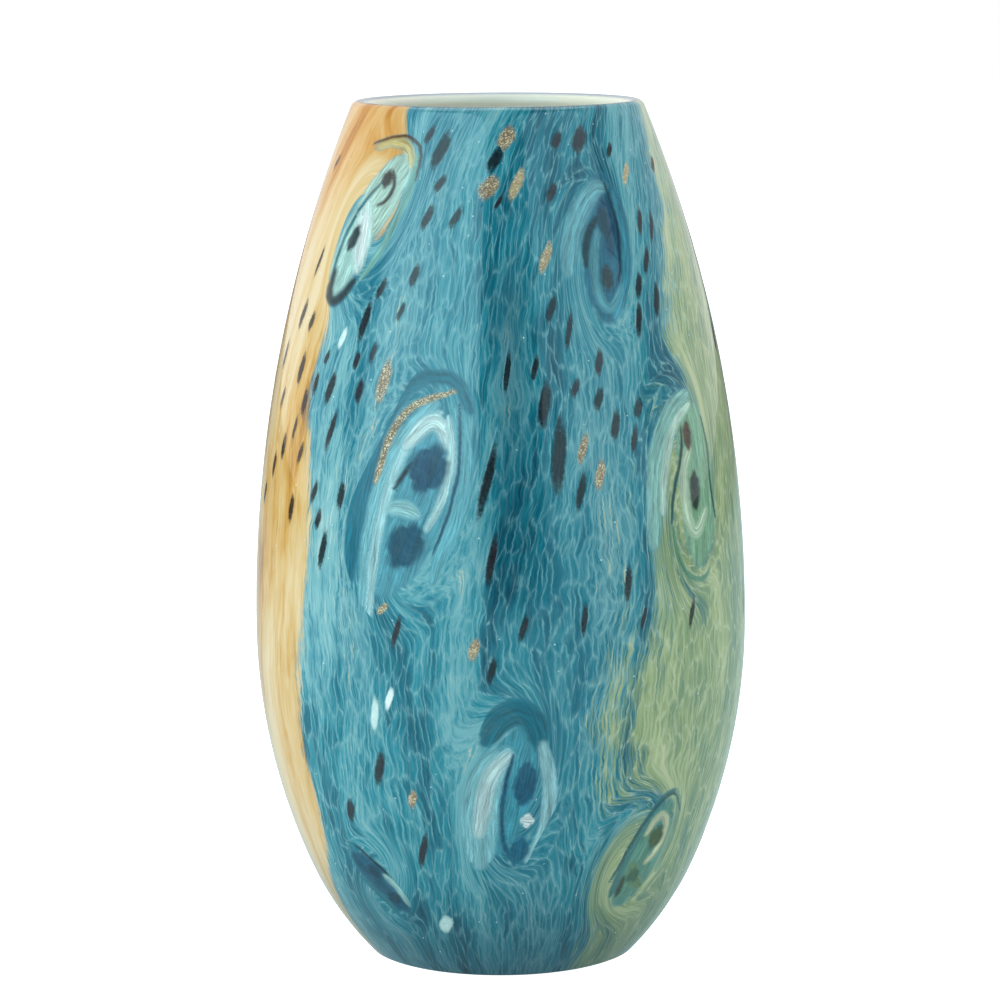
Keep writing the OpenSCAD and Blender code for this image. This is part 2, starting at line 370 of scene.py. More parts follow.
LINING_PITCH = 0.003
outer = cup_line(CASING + COLOUR + SINK, LINING_PITCH)
roll = arc(lip_x, lip_z, WALL / 2, CREST, math.pi + lip_turn, 20)
inner = cup_line(WALL, LINING_PITCH)[::-1]
lining_line = np.concatenate([outer, roll, inner[1:]])
lining = mesh_piece("opal_lining_glass", *turned(lining_line, ROUND_STEPS))
opal, tree = material("opal_white")
place = add(tree, "ShaderNodeTexCoord")
cloud = add(tree, "ShaderNodeTexNoise", None, {
    "Vector": place.outputs["Object"], "Scale": each(45.45), "Detail": 4.0})
tone = add(tree, "ShaderNodeValToRGB", {
    "stops": [(0.3, paint("#fbf1dc")), (0.7, paint("#f0ecdf"))]}, {"Fac": cloud.outputs["Fac"]})
rise = add(tree, "ShaderNodeSeparateXYZ", None, {0: place.outputs["Object"]})
crest = add(tree, "ShaderNodeMapRange", SMOOTH, {
    0: rise.outputs["Z"], 1: cad_high.z - 0.0012, 2: cad_high.z - 0.0002})
tone = add(tree, "ShaderNodeMix", COLOURS, {
    0: crest.outputs[0], 6: tone.outputs["Color"], 7: paint("#a3abb4")})
shade = add(tree, "ShaderNodeBsdfPrincipled", None, {
    "Base Color": tone.outputs[2], "Roughness": 0.25, "IOR": 1.5})
add(tree, "ShaderNodeOutputMaterial", None, {"Surface": shade.outputs[0]})
lining.data.materials.append(opal)
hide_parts("opal_lining")
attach(lining, "root")

# ---- Colour layer ----
# Crushed coloured glass rolled on to the hot opal in separate areas, melted in and drawn down with
# the gather, so that every grain is a long scale in a net of pale seams. Where a hook was pushed in
# and turned, the scales are wound up with it.

REACH = 0.08
TWIRLS = {
    # node: (tall mm, wide mm, lean degrees, turn degrees)
    "twirl_left_top": (54, 32, -10, 150),
    "twirl_right_top": (54, 25, -6, 150),
    "twirl_middle": (74, 35, -10, 160),
    "twirl_right": (72, 36, -4, 150),
    "twirl_foot": (60, 31, -8, 150),
    "twirl_foot_right": (46, 34, -12, 170),
    "twirl_foot_left": (34, 26, -14, 120),
    "twirl_back_right_top": (58, 30, -8, 150),
    "twirl_back_right": (70, 36, -10, 160),
    "twirl_back_top": (66, 34, -6, 160),
    "twirl_back_foot": (60, 32, -10, 150),
    "twirl_back_left": (66, 34, -8, 150),
}
centres = {}
for node in TWIRLS:
    low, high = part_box(node)
    mid = (low + high) / 2
    centres[node] = (math.atan2(mid.x, -mid.y), mid.z)


def ease(low, high, value):
    """0 below low, 1 above high, smooth between."""
    t = np.clip((value - low) / (high - low), 0.0, 1.0)
    return t * t * (3 - 2 * t)


def wall_radius(z):
    """Radius of the skin at a height."""
    upper = side_x + np.sqrt(SIDE_R ** 2 - (np.maximum(z, BELLY_Z) - BELLY_Z) ** 2)
    middle = lower_x + np.sqrt(LOWER_R ** 2 - np.minimum(z - BELLY_Z, 0) ** 2)
    foot = foot_x + np.sqrt(np.maximum(FOOT_R ** 2 - np.minimum(z - foot_z, 0) ** 2, 0.0))
    join = BELLY_Z - LOWER_R * math.sin(LOWER_TURN)
    return np.where(z >= BELLY_Z, upper, np.where(z >= join, middle, foot))


SLOPE_STEP = 0.001


def wall_slope(z):
    """How fast the radius of the skin grows with height."""
    return (wall_radius(z + SLOPE_STEP / 2) - wall_radius(z - SLOPE_STEP / 2)) / SLOPE_STEP


def hook_place(node, angle, z):
    """Place inside one twirl: across and along it, 1 at its edge, after its lean is undone."""
    tall, wide, lean, turn = TWIRLS[node]
    centre, height = centres[node]
    across = (angle - centre + math.pi) % (2 * math.pi) - math.pi
    across = across * wall_radius(z)
    along = z - height
    c, s = math.cos(math.radians(lean)), math.sin(math.radians(lean))
    return (across * c + along * s) / (wide / 2000), (-across * s + along * c) / (tall / 2000)


def drawn(angle, z):
    """Angle and height before the gather was drawn, hooked and twisted."""
    from_angle, from_z = angle.copy(), z.copy()
    for node, (tall, wide, lean, turn) in TWIRLS.items():
        u, w = hook_place(node, angle, z)
        back = math.radians(turn) * (1 - ease(0.1, 1.5, np.hypot(u, w))) ** 1.3
        pu, pw = u * np.cos(back) - w * np.sin(back), u * np.sin(back) + w * np.cos(back)
        du, dw = (pu - u) * wide / 2000, (pw - w) * tall / 2000
        c, s = math.cos(math.radians(lean)), math.sin(math.radians(lean))
        from_angle += (du * c - dw * s) / wall_radius(z)
        from_z += du * s + dw * c
    # the mouth was twisted last, so the colour leans most near the lip
    lean_top = 0.016 * np.exp((from_z - 0.300) / 0.022)
    lean_side = 0.02 * from_z + 0.35 * (from_z - 0.12) ** 2
    wave = (0.0020 * np.sin(3 * from_angle + 38 * from_z)
            + 0.0013 * np.sin(7 * from_angle - 71 * from_z + 1.3))
    from_angle -= (lean_top + lean_side + wave) / REACH
    return from_angle, from_z


# degrees round from the front, before the draw
AMBER_FRONT = -55
AMBER_BACK = -132
GREEN_FRONT = 40
GREEN_BACK = 119


def colour_areas(angle, z):
    """How far each place belongs to the amber, the green and the pale band beside the amber."""
    turn = np.degrees((angle + math.pi) % (2 * math.pi) - math.pi)
    mm = z * 1000
    amber_edge = AMBER_FRONT - 6 * ease(215, 285, mm) - 13 * ease(60, 18, mm) + 2.5 * np.sin(mm / 19)
    amber_back = AMBER_BACK - 5 * np.sin(mm / 23) - 3 * np.sin(mm / 11)
    amber = ease(-4, 4, amber_edge - turn) * ease(-6, 6, turn - amber_back)
    pale = ease(-4, 4, turn - amber_edge) * ease(-17, -6, amber_edge - turn) * ease(70, 130, mm)
    green_edge = GREEN_FRONT + 14 * ease(190, 290, mm) - 14 * ease(140, 90, mm) + 4 * np.sin(mm / 31)
    green = ease(-21, 21, turn - green_edge) * ease(-9, 9, GREEN_BACK - turn)
    return amber, green, pale


def give(piece, name, values):
    """Stores a vector for every point of a piece."""
    layer = piece.data.attributes.new(name, "FLOAT_VECTOR", "POINT")
    layer.data.foreach_set("vector", np.stack(values, axis=1).astype(np.float32).ravel())


UNROLL_CUT = math.radians(-96)
# painted shade: centre and width of the strip up the front that is painted darker where the dark gap
# between the softboxes shows in the gloss
GAP_SHADE_TURN = 3
GAP_SHADE_WIDE = 6


def frit_values(angle, z):
    """What the frit needs at each point: the place it was drawn from, round and unrolled, its colour
    areas, and how far the strip up the front takes the painted shade of the dark gap between the softboxes."""
    from_angle, from_z = drawn(angle, z)
    unrolled = (from_angle - UNROLL_CUT) % (2 * math.pi)
    # painted shade: the dark gap between the softboxes, as seen in the gloss, painted as a strip up the
    # front
    gap_shade = np.exp(-((np.degrees(angle) - GAP_SHADE_TURN) / GAP_SHADE_WIDE) ** 2)
    gap_shade *= ease(0.120, 0.165, z) * ease(0.262, 0.235, z)
    return {
        "flow": (REACH * np.sin(from_angle), -REACH * np.cos(from_angle), from_z),
        "areas": colour_areas(from_angle, from_z),
        "grain": (REACH * unrolled, from_z, gap_shade),
    }


def mark(piece, values):
    """Stores each set of values on the points of a piece."""
    for name, parts in values.items():
        give(piece, name, parts)


UNDER_FROM = 0.0007
SKIN_FROM = 0.0004


def skin_line(pitch):
    """Outside of a field: under the floor, inside the foot, up the skin and over the lip."""
    under = wall_line(SKIN, base_turn, pitch)
    under = under[(under[:, 1] < PUCK_Z) & (under[:, 1] > UNDER_FROM)][::-1]
    out_steps = round(under[0][0] / pitch)
    floor_part = [[max(under[0][0] * i / out_steps, SINK), PUCK_Z] for i in range(out_steps)]
    skin = wall_line(0.0, base_turn, pitch)
    over = arc(lip_x, lip_z, WALL / 2, lip_turn, CREST, 6)
    return np.concatenate([floor_part, under, skin[skin[:, 1] > SKIN_FROM], over])


# what the softboxes add in the gloss, and how bright the studio light is on the colour itself
GLOSS = np.array([0.025, 0.035, 0.042])
STUDIO = 1.25
LEAST = 0.5


def seen(code):
    """Colour of glass that looks like this in the studio, once the gloss of the softboxes is off it."""
    look = np.array(paint(code)[:3])
    return (*(np.maximum(look - GLOSS, look * LEAST) / STUDIO), 1.0)


FIELD_PITCH = 0.0012


def field(name, start, end):
    """One area of the colour layer as a thin closed shell, from the floor's middle to the lip."""
    skin = skin_line(FIELD_PITCH)
    t = np.linspace(0.0, 1.0, len(skin))
    inside = cup_line(CASING + COLOUR, FIELD_PITCH)
    inside[0][0] = SINK
    spread = np.linspace(0.0, 1.0, len(inside))
    back = np.stack([np.interp(t, spread, inside[:, 0]), np.interp(t, spread, inside[:, 1])], axis=1)
    columns = round((end - start) * BELLY_R / FIELD_PITCH)
    turn = start + (end - start) * np.arange(columns + 1) / columns
    rows = len(skin)
    points = []
    for line in (skin, back):
        r, z = line[:, :1], line[:, 1:]
        grid = np.stack([r * np.sin(turn), -r * np.cos(turn), z + 0 * turn], axis=2)
        points.append(grid.reshape(-1, 3))
    wide = columns + 1
    half = rows * wide
    faces = []
    for i in range(rows - 1):
        for k in range(columns):
            a = i * wide + k
            faces.append((a, a + 1, a + wide + 1, a + wide))
            faces.append((half + a, half + a + wide, half + a + wide + 1, half + a + 1))
        a = i * wide
        faces.append((a, a + wide, half + a + wide, half + a))
        a += columns
        faces.append((a, half + a, half + a + wide, a + wide))
    for k in range(columns):
        a = (rows - 1) * wide + k
        faces.append((a, a + 1, half + a + 1, half + a))
        faces.append((k, half + k, half + k + 1, k + 1))
    piece = mesh_piece(name, np.concatenate(points), faces)
    mark(piece, frit_values(np.tile(turn, rows * 2), np.tile(np.repeat(skin[:, 1], wide), 2)))
    return piece


TIMES_PLUS = {"operation": "MULTIPLY_ADD"}
TINTED = {"data_type": "RGBA", "blend_type": "MULTIPLY"}
GRAIN_MM = 2.3256
DRAWN_OUT = 0.20


def frit_colour(tree):
    """Adds the melted frit to a material and returns its colour."""
    flow = add(tree, "ShaderNodeAttribute", {"attribute_name": "flow"})
    areas = add(tree, "ShaderNodeAttribute", {"attribute_name": "areas"})
    area = add(tree, "ShaderNodeSeparateXYZ", None, {0: areas.outputs["Vector"]})
    # a grain is GRAIN_MM across and drawn to five times that, with crooked soft seams
    sway = add(tree, "ShaderNodeTexNoise", None, {
        "Vector": flow.outputs["Vector"], "Scale": each(11.11), "Detail": 1.0})
    shift = add(tree, "ShaderNodeVectorMath", TIMES_PLUS, {
        0: sway.outputs["Color"], 1: (0.0030, 0.0030, 0.0060), 2: flow.outputs["Vector"]})
    long = add(tree, "ShaderNodeVectorMath", TIMES, {
        0: shift.outputs[0], 1: (1.0, 1.0, 0.17)})
    grains = add(tree, "ShaderNodeAttribute", {"attribute_name": "grain"})
    crinkle = add(tree, "ShaderNodeTexNoise", None, {
        "Vector": flow.outputs["Vector"], "Scale": each(2.381), "Detail": 1.0})
    bent = add(tree, "ShaderNodeVectorMath", TIMES_PLUS, {
        0: sway.outputs["Color"], 1: (0.0036, 0.0090, 0.0), 2: grains.outputs["Vector"]})
    bent = add(tree, "ShaderNodeVectorMath", TIMES_PLUS, {
        0: crinkle.outputs["Color"], 1: (0.0010, 0.0030, 0.0), 2: bent.outputs[0]})
    cell = add(tree, "ShaderNodeVectorMath", TIMES, {
        0: bent.outputs[0], 1: (1.0, DRAWN_OUT, 1.0)})
    seam = add(tree, "ShaderNodeTexVoronoi", {"feature": "DISTANCE_TO_EDGE", "voronoi_dimensions": "2D"}, {
        "Vector": cell.outputs[0], "Scale": each(GRAIN_MM), "Randomness": 1.0})
    grain = add(tree, "ShaderNodeTexVoronoi", {"feature": "F1", "voronoi_dimensions": "2D"}, {
        "Vector": cell.outputs[0], "Scale": each(GRAIN_MM), "Randomness": 1.0})
    slim = add(tree, "ShaderNodeVectorMath", TIMES, {
        0: bent.outputs[0], 1: (1.0, 0.16, 1.0)})
    fine_seam = add(tree, "ShaderNodeTexVoronoi", {
        "feature": "DISTANCE_TO_EDGE", "voronoi_dimensions": "2D"}, {
        "Vector": slim.outputs[0], "Scale": each(1.25), "Randomness": 1.0})
    hairs = add(tree, "ShaderNodeVectorMath", TIMES, {
        0: bent.outputs[0], 1: (1.0, 0.05, 1.0)})
    hairs = add(tree, "ShaderNodeTexNoise", {"noise_dimensions": "2D"}, {
        "Vector": hairs.outputs[0], "Scale": each(0.6667), "Detail": 2.0, "Roughness": 0.6})
    grain_tone = add(tree, "ShaderNodeSeparateColor", None, {0: grain.outputs["Color"]})
    cloud = add(tree, "ShaderNodeTexNoise", None, {
        "Vector": long.outputs[0], "Scale": each(18.18), "Detail": 4.0, "Roughness": 0.6})
    drift = add(tree, "ShaderNodeTexNoise", None, {
        "Vector": long.outputs[0], "Scale": each(38.46), "Detail": 2.0})
    strand_place = add(tree, "ShaderNodeVectorMath", TIMES, {
        0: shift.outputs[0], 1: (1.0, 1.0, 0.06)})
    strand = add(tree, "ShaderNodeTexNoise", None, {
        "Vector": strand_place.outputs[0], "Scale": each(1.25), "Detail": 2.0, "Roughness": 0.6})
    strand_wide = add(tree, "ShaderNodeTexNoise", None, {
        "Vector": strand_place.outputs[0], "Scale": each(4.762), "Detail": 2.0})
    # tone: soft clouds, a little of each grain's own value, then fine hairs and strands
    tone = add(tree, "ShaderNodeMath", TIMES_PLUS, {
        0: grain_tone.outputs[0], 1: 0.10, 2: cloud.outputs["Fac"]})
    tone = add(tree, "ShaderNodeMath", TIMES_PLUS, {
        0: hairs.outputs["Fac"], 1: 0.34, 2: tone.outputs[0]})
    tone = add(tree, "ShaderNodeMath", TIMES_PLUS, {
        0: strand.outputs["Fac"], 1: 0.12, 2: tone.outputs[0]})
    blue = add(tree, "ShaderNodeValToRGB", {"stops": [
        (0.56, seen("#085c70")), (0.68, seen("#137c8f")), (0.80, seen("#389aaa")),
        (0.98, seen("#86c4ca"))]}, {"Fac": tone.outputs[0]})
    steel = add(tree, "ShaderNodeMapRange", SMOOTH, {
        0: drift.outputs["Fac"], 1: 0.46, 2: 0.64, 3: 0.0, 4: 0.5})
    blue = add(tree, "ShaderNodeMix", COLOURS, {
        0: steel.outputs[0], 6: blue.outputs[0], 7: seen("#267a90")})
    green = add(tree, "ShaderNodeValToRGB", {"stops": [
        (0.56, seen("#4f8484")), (0.70, seen("#82a184")), (0.83, seen("#a3b787")),
        (0.99, seen("#ccd6a8"))]}, {"Fac": tone.outputs[0]})
    honey_tone = add(tree, "ShaderNodeMath", TIMES_PLUS, {
        0: strand_wide.outputs["Fac"], 1: 0.45, 2: cloud.outputs["Fac"]})
    honey_tone = add(tree, "ShaderNodeMath", TIMES_PLUS, {
        0: strand.outputs["Fac"], 1: 0.30, 2: honey_tone.outputs[0]})
    honey = add(tree, "ShaderNodeValToRGB", {"stops": [
        (0.62, seen("#c4883e")), (0.76, seen("#e6b46c")), (0.88, seen("#f0cc94")),
        (1.0, seen("#f8dcb0"))]}, {"Fac": honey_tone.outputs[0]})
    pale = add(tree, "ShaderNodeValToRGB", {"stops": [
        (0.58, seen("#26748b")), (0.74, seen("#4c9aab")), (0.88, seen("#92c8cb")),
        (1.0, seen("#d4eae4"))]}, {"Fac": tone.outputs[0]})
    # each area's edge is broken up by the clouds, the hairs and its grains
    ragged = add(tree, "ShaderNodeMath", TIMES_PLUS, {
        0: grain_tone.outputs[1], 1: 0.20, 2: -1.10})
    ragged = add(tree, "ShaderNodeMath", TIMES_PLUS, {
        0: cloud.outputs["Fac"], 1: 1.0, 2: ragged.outputs[0]})
    ragged = add(tree, "ShaderNodeMath", TIMES_PLUS, {
        0: hairs.outputs["Fac"], 1: 1.0, 2: ragged.outputs[0]})
    edges = []
    for number in range(3):
        push = add(tree, "ShaderNodeMath", {"operation": "ADD"}, {
            0: area.outputs[number], 1: ragged.outputs[0]})
        edges.append(add(tree, "ShaderNodeMapRange", SMOOTH, {
            0: push.outputs[0], 1: 0.25, 2: 0.75}).outputs[0])
    skin = add(tree, "ShaderNodeMix", COLOURS, {
        0: edges[1], 6: blue.outputs[2], 7: green.outputs[0]})
    skin = add(tree, "ShaderNodeMix", COLOURS, {
        0: edges[2], 6: skin.outputs[2], 7: pale.outputs[0]})
    # pale seams between the grains, bright at some crossings and lost elsewhere
    seam_colour = add(tree, "ShaderNodeMix", COLOURS, {
        0: edges[1], 6: seen("#92c9ce"), 7: seen("#d2dcb6")})
    patchy = add(tree, "ShaderNodeMapRange", SMOOTH, {
        0: cloud.outputs["Fac"], 1: 0.36, 2: 0.64, 3: 0.25, 4: 1.0})
    bloom = add(tree, "ShaderNodeMapRange", SMOOTH, {
        0: seam.outputs["Distance"], 1: 0.30, 2: 0.0, 3: 0.0, 4: 0.42})
    bloom = add(tree, "ShaderNodeMath", TIMES, {
        0: bloom.outputs[0], 1: patchy.outputs[0]})
    skin = add(tree, "ShaderNodeMix", COLOURS, {
        0: bloom.outputs[0], 6: skin.outputs[2], 7: seam_colour.outputs[2]})
    thin = add(tree, "ShaderNodeMapRange", SMOOTH, {
        0: seam.outputs["Distance"], 1: 0.13, 2: 0.0})
    lost = add(tree, "ShaderNodeMapRange", SMOOTH, {
        0: hairs.outputs["Fac"], 1: 0.34, 2: 0.70, 3: 0.05, 4: 0.75})
    net = add(tree, "ShaderNodeMath", TIMES, {
        0: thin.outputs[0], 1: lost.outputs[0]})
    skin = add(tree, "ShaderNodeMix", COLOURS, {
        0: net.outputs[0], 6: skin.outputs[2], 7: seam_colour.outputs[2]})
    fine = add(tree, "ShaderNodeMapRange", SMOOTH, {
        0: fine_seam.outputs["Distance"], 1: 0.16, 2: 0.0})
    fine_patch = add(tree, "ShaderNodeMapRange", SMOOTH, {
        0: cloud.outputs["Fac"], 1: 0.44, 2: 0.62, 3: 0.05, 4: 0.45})
    fine_net = add(tree, "ShaderNodeMath", TIMES, {
        0: fine.outputs[0], 1: fine_patch.outputs[0]})
    skin = add(tree, "ShaderNodeMix", COLOURS, {
        0: fine_net.outputs[0], 6: skin.outputs[2], 7: seam_colour.outputs[2]})
    rise = add(tree, "ShaderNodeSeparateXYZ", None, {0: flow.outputs["Vector"]})
    rich = add(tree, "ShaderNodeMapRange", SMOOTH, {
        0: rise.outputs["Z"], 1: 0.245, 2: 0.295, 3: 0.0, 4: 0.8})
    honey = add(tree, "ShaderNodeMix", TINTED, {
        0: rich.outputs[0], 6: honey.outputs[0], 7: paint("#fadcb4")})
    skin = add(tree, "ShaderNodeMix", COLOURS, {
        0: edges[0], 6: skin.outputs[2], 7: honey.outputs[2]})
    # the colour is darker towards the base, and a strip up the front is painted darker as painted shade of
    # the dark gap between the softboxes in the gloss
    base_dark_and_gap_shade = add(tree, "ShaderNodeMapRange", SMOOTH, {
        0: rise.outputs["Z"], 1: 0.050, 2: 0.0, 3: 0.0, 4: 0.6})
    gap_shade = add(tree, "ShaderNodeSeparateXYZ", None, {0: grains.outputs["Vector"]})
    # painted shade: the front strip is added to the darkening here
    base_dark_and_gap_shade = add(tree, "ShaderNodeMath", {"operation": "MULTIPLY_ADD", "use_clamp": True}, {
        0: gap_shade.outputs["Z"], 1: 0.62, 2: base_dark_and_gap_shade.outputs[0]})
    skin = add(tree, "ShaderNodeMix", TINTED, {
        0: base_dark_and_gap_shade.outputs[0], 6: skin.outputs[2], 7: paint("#6d93a3")})
    # seeds: pin-prick bubbles left in the melt
    seed = add(tree, "ShaderNodeTexVoronoi", {"feature": "F1"}, {
        "Vector": flow.outputs["Vector"], "Scale": each(6.667)})
    speck = add(tree, "ShaderNodeMapRange", SMOOTH, {
        0: seed.outputs["Distance"], 1: 0.055, 2: 0.02, 3: 0.0, 4: 0.8})
    skin = add(tree, "ShaderNodeMix", COLOURS, {
        0: speck.outputs[0], 6: skin.outputs[2], 7: paint("#e6f3f1")})
    return skin.outputs[2]


def under_crystal(tree, colour):
    """Closes a colour material: matt glass with the clear casing over it as a polished coat."""
    shade = add(tree, "ShaderNodeBsdfPrincipled", None, {
        "Base Color": colour, "Roughness": 0.5, "IOR": 1.5, "Specular IOR Level": 0.0,
        "Coat Weight": 1.0, "Coat Roughness": 0.015, "Coat IOR": 1.5})
    add(tree, "ShaderNodeOutputMaterial", None, {"Surface": shade.outputs[0]})


frit, tree = material("melted_frit")
under_crystal(tree, frit_colour(tree))

FIELDS = {
    # node: (first edge, last edge, slot), degrees round from the front
    "blue_front_field": (-56, 46, "blue"),
    "green_field": (46, 128, "green"),
    "blue_back_field": (128, 216, "blue"),
    "amber_field": (216, 304, "amber"),
}
for node, (start, end, slot) in FIELDS.items():
    piece = field(node + "_glass", math.radians(start), math.radians(end))
    piece.data.materials.append(frit)
    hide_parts(node)
    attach(piece, "root")

# ---- Twirls ----
# A hooked tool was pushed into the hot colour and turned, which draws the bands round it in long
# streaks and leaves a dark eye at each end of the hook.

BANDS = {
    # node: streaks in the order they lie: colour, width mm, softness mm, path across and along
    "twirl_left_top": [
        ("#b4dad0", 16, 3.5, [(-0.4, -0.9), (-0.25, -0.3), (0.1, 0.25), (0.45, 0.8)]),
        ("#d0c08a", 4, 2.5, [(-0.5, 0.85), (-0.1, 1.0), (0.4, 0.98), (0.65, 0.75)]),
        ("#d9efe9", 7, 3.0, [(-0.25, 0.2), (0.0, -0.15), (0.15, -0.6)]),
        ("#f2faf6", 4, 2.0, [(-0.1, 0.05), (0.1, -0.5)]),
        ("#86b8ad", 3, 1.5, [(0.7, 0.9), (0.8, 0.5), (0.75, 0.1), (0.6, -0.35), (0.3, -0.7)]),
        ("#3d7580", 1.6, 1.0, [(-0.6, -0.9), (-0.62, -0.5), (-0.5, -0.1), (-0.25, 0.25), (0.1, 0.55)]),
        ("#16262e", 4.0, 3.0, [
            (-0.55, -0.7), (-0.58, -0.98), (-0.36, -1.1), (-0.05, -0.95), (0.15, -0.72)]),
        ("#1b4c5a", 1.6, 1.0, [(0.2, 0.66), (0.4, 0.5), (0.32, 0.28), (0.1, 0.2)]),
        ("#5e4022", 1.2, 0.8, [(-0.75, 0.85), (-0.1, 1.05), (0.4, 1.1), (0.75, 0.95), (0.85, 0.6)]),
    ],
    "twirl_right_top": [
        ("#2d7088", 20, 5.0, [(0.2, 0.8), (0.3, 0.2), (0.2, -0.7)]),
        ("#7ab4bd", 7, 3.0, [(-0.95, -0.3), (-0.85, 0.1), (-0.5, 0.5), (0.0, 0.78), (0.3, 0.8)]),
        ("#1a5570", 6, 3.0, [(0.3, 0.65), (0.42, 0.35), (0.38, 0.0)]),
        ("#63a1ad", 3.5, 1.6, [(0.0, 0.25), (-0.2, -0.15), (-0.1, -0.55), (0.3, -0.75), (0.7, -0.4)]),
        ("#0f2a38", 2.6, 1.2, [(-0.42, -0.2), (-0.38, 0.1), (-0.2, 0.3), (0.02, 0.42)]),
        ("#4a93a6", 3, 1.6, [(0.6, 0.75), (0.88, 0.3), (0.88, -0.1), (0.75, -0.5), (0.4, -0.8)]),
        ("#123a4e", 1.2, 0.9, [(0.35, 0.85), (0.68, 0.4), (0.68, -0.05), (0.6, -0.35)]),
    ],
    "twirl_middle": [
        ("#2b7a8e", 9, 4.0, [(-1.1, -0.9), (-1.15, -0.2), (-1.08, 0.45), (-0.75, 0.9), (-0.2, 1.1)]),
        ("#247688", 5, 3.0, [(-0.6, 0.95), (-0.1, 1.12), (0.4, 1.1), (0.75, 0.85)]),
        ("#62a5b4", 24, 4.0, [(-0.25, -0.8), (-0.1, -0.2), (0.1, 0.5)]),
        ("#86c2ca", 8, 2.5, [(-0.55, -1.25), (-0.72, -0.6), (-0.68, 0.05), (-0.4, 0.55), (0.05, 0.85)]),
        ("#b4dcde", 3.4, 1.8, [(-0.5, -1.2), (-0.62, -0.5), (-0.55, 0.1), (-0.25, 0.6), (0.2, 0.8)]),
        ("#d9f0ec", 5, 2.5, [(-0.35, 0.45), (0.0, 0.72), (0.3, 0.68), (0.5, 0.5)]),
        ("#74b7c2", 7, 2.0, [(0.5, 0.85), (0.86, 0.4), (0.9, -0.05), (0.72, -0.7)]),
        ("#c5e5e3", 3.0, 1.6, [(0.35, 0.78), (0.6, 0.45), (0.6, 0.05), (0.38, -0.25)]),
        ("#195570", 1.2, 0.8, [(0.5, 0.9), (0.76, 0.45), (0.78, 0.0), (0.6, -0.45)]),
        ("#a6d5d6", 5, 2.5, [(-0.45, -0.15), (-0.15, -0.10), (0.15, -0.14)]),
        ("#241c28", 1.8, 1.0, [(-0.18, 0.30), (-0.42, 0.04)]),
        ("gold", 2.6, 1.4, [(-0.85, 0.05), (-0.75, 0.5), (-0.42, 0.82), (0.35, 1.0)]),
        ("gold", 2.4, 1.4, [(-0.3, -1.1), (-0.15, -1.0)]),
    ],
    "twirl_right": [
        ("#8cb89c", 20, 4.0, [(0.1, 0.7), (0.35, 0.1), (0.35, -0.7)]),
        ("#96c6be", 8, 3.0, [(-0.95, -0.6), (-0.9, 0.0), (-0.7, 0.4), (-0.3, 0.7), (0.15, 0.8)]),
        ("#c9e5d6", 3.4, 1.8, [(-0.7, -0.3), (-0.62, 0.15), (-0.3, 0.55), (0.2, 0.7)]),
        ("#c8dfc4", 4.5, 2.2, [(0.1, 0.3), (-0.15, 0.1), (-0.1, -0.3), (0.2, -0.55), (0.55, -0.3)]),
        ("#2a5a5e", 1.6, 1.0, [(-0.5, -0.4), (-0.42, -0.08), (-0.14, 0.22), (-0.1, 0.5)]),
        ("#2b5450", 1.2, 0.9, [(0.6, 0.6), (0.76, 0.26), (0.78, -0.14), (0.95, -0.4)]),
        ("#6f9f7c", 1.6, 1.2, [(-0.48, -0.42), (-0.25, -0.85), (0.4, -0.98), (0.9, -0.75)]),
    ],
    "twirl_foot": [
        ("#4fa0b2", 17, 4.0, [(-0.1, -0.7), (0.0, 0.0), (0.1, 0.6)]),
        ("#087284", 10, 3.0, [(-0.62, 0.52), (-0.45, 0.78), (-0.02, 0.92), (0.36, 0.82), (0.56, 0.55)]),
        ("#8cc4ca", 13, 3.0, [(-0.35, -0.95), (-0.58, -0.3), (-0.5, 0.15), (-0.15, 0.38)]),
        ("#cfe8e6", 5.5, 3.0, [(-0.48, -0.6), (-0.48, 0.1), (-0.12, 0.38)]),
        ("#a3d2d6", 5.5, 2.5, [(0.62, 0.55), (0.86, 0.2), (0.98, -0.2), (0.92, -0.6), (0.66, -0.85)]),
        ("#0e5b74", 1.6, 1.0, [(0.0, 0.4), (-0.1, -0.1), (0.02, -0.65), (0.4, -0.93)]),
        ("#eef8f5", 5.5, 0.8, [(0.44, -0.36), (0.6, -0.36)]),
    ],
    "twirl_foot_right": [
        ("#5f968a", 17, 5.0, [(0.1, -0.7), (0.2, 0.0), (0.35, 0.7)]),
        ("#437c82", 3.4, 2.0, [(-0.2, -0.7), (-0.3, -0.1), (-0.12, 0.5), (0.15, 0.9), (0.45, 1.0)]),
        ("#8fb295", 3.4, 2.0, [(0.5, 1.0), (0.78, 0.75), (0.88, 0.3), (0.8, -0.25)]),
        ("#d2d9b4", 3.2, 1.6, [
            (0.02, 0.3), (0.12, 0.54), (0.34, 0.64), (0.58, 0.45), (0.56, 0.08), (0.34, -0.14)]),
        ("#6c9070", 5, 2.5, [(0.0, -0.2), (0.25, -0.45), (0.5, -0.5)]),
        ("#23302b", 2.2, 1.4, [(-0.1, -0.4), (-0.06, -0.7)]),
        ("#2f5f62", 1.2, 0.9, [(-0.4, -0.5), (-0.3, 0.2), (0.0, 0.75), (0.45, 1.02), (0.85, 0.7)]),
    ],
    "twirl_foot_left": [
        ("#1e6078", 11, 4.0, [(-0.8, 0.35), (-0.1, 0.1), (0.7, -0.4)]),
        ("#0e2c3a", 1.2, 0.9, [(-0.95, 0.65), (-0.4, 0.55), (0.3, 0.25), (0.9, -0.3)]),
        ("#a9d2cd", 2.6, 1.4, [(0.15, 0.2), (0.5, 0.05), (0.85, -0.3)]),
        ("#3f8290", 2.4, 1.6, [(-0.7, -0.1), (0.0, -0.3), (0.6, -0.7)]),
    ],
}
